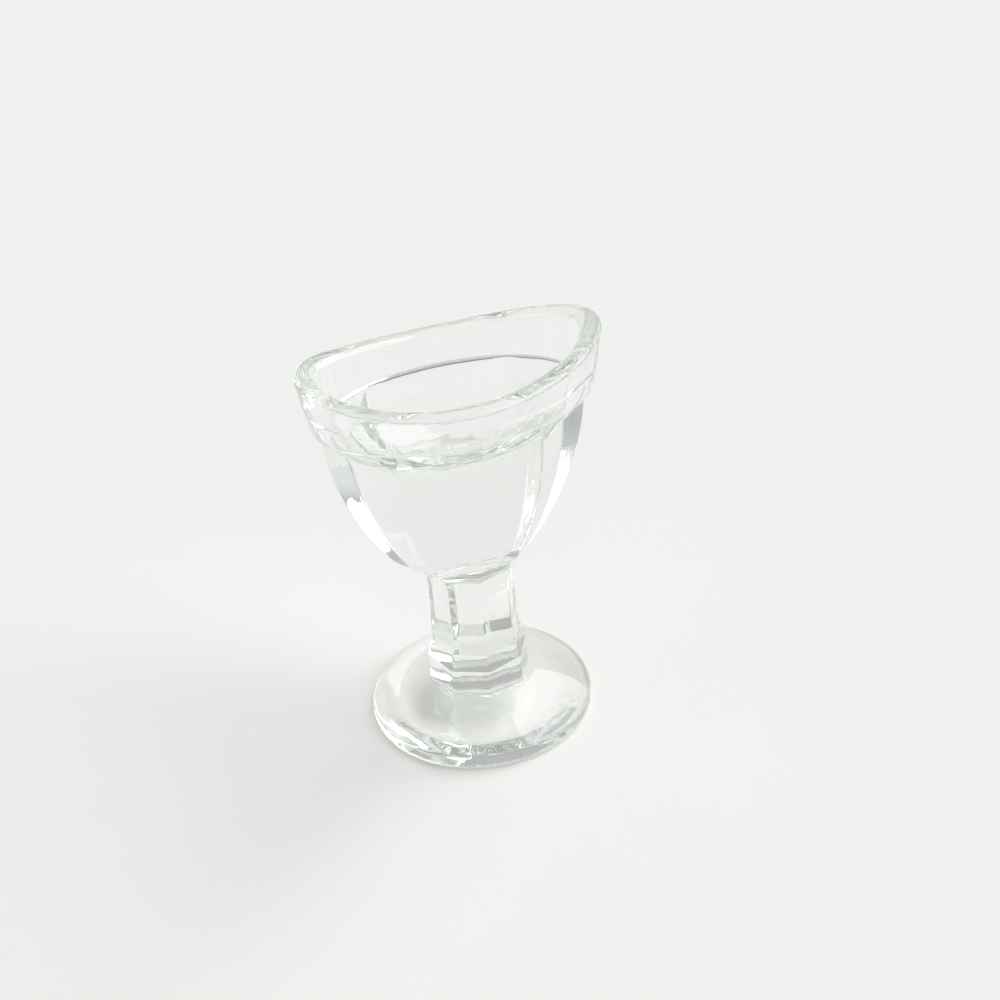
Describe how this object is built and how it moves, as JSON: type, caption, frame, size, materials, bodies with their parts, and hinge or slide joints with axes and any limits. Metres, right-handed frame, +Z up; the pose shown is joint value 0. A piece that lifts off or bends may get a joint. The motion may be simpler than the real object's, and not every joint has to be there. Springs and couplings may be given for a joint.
{
  "type": "eye bath",
  "caption": "Clear pressed-glass eye bath: oval cup with a saddle rim that fits the eye socket, panelled bowl, eight-sided waisted stem and round domed foot to stand on.",
  "frame": {"origin": "centre of the foot's underside, on the table", "axes": "+Z up along the stem, +X along the long axis of the oval rim, +Y across the rim towards its back"},
  "size_m": [0.041, 0.03, 0.0583],
  "materials": {
    "clear_glass": "clear fire-polished pressed glass, faintly green where thick"
  },
  "bodies": {
    "root": {"foot": "clear_glass", "plinth": "clear_glass", "stem": "clear_glass", "collar": "clear_glass", "bowl": "clear_glass", "band": "clear_glass", "lip": "clear_glass"}
  },
  "joints": []
}
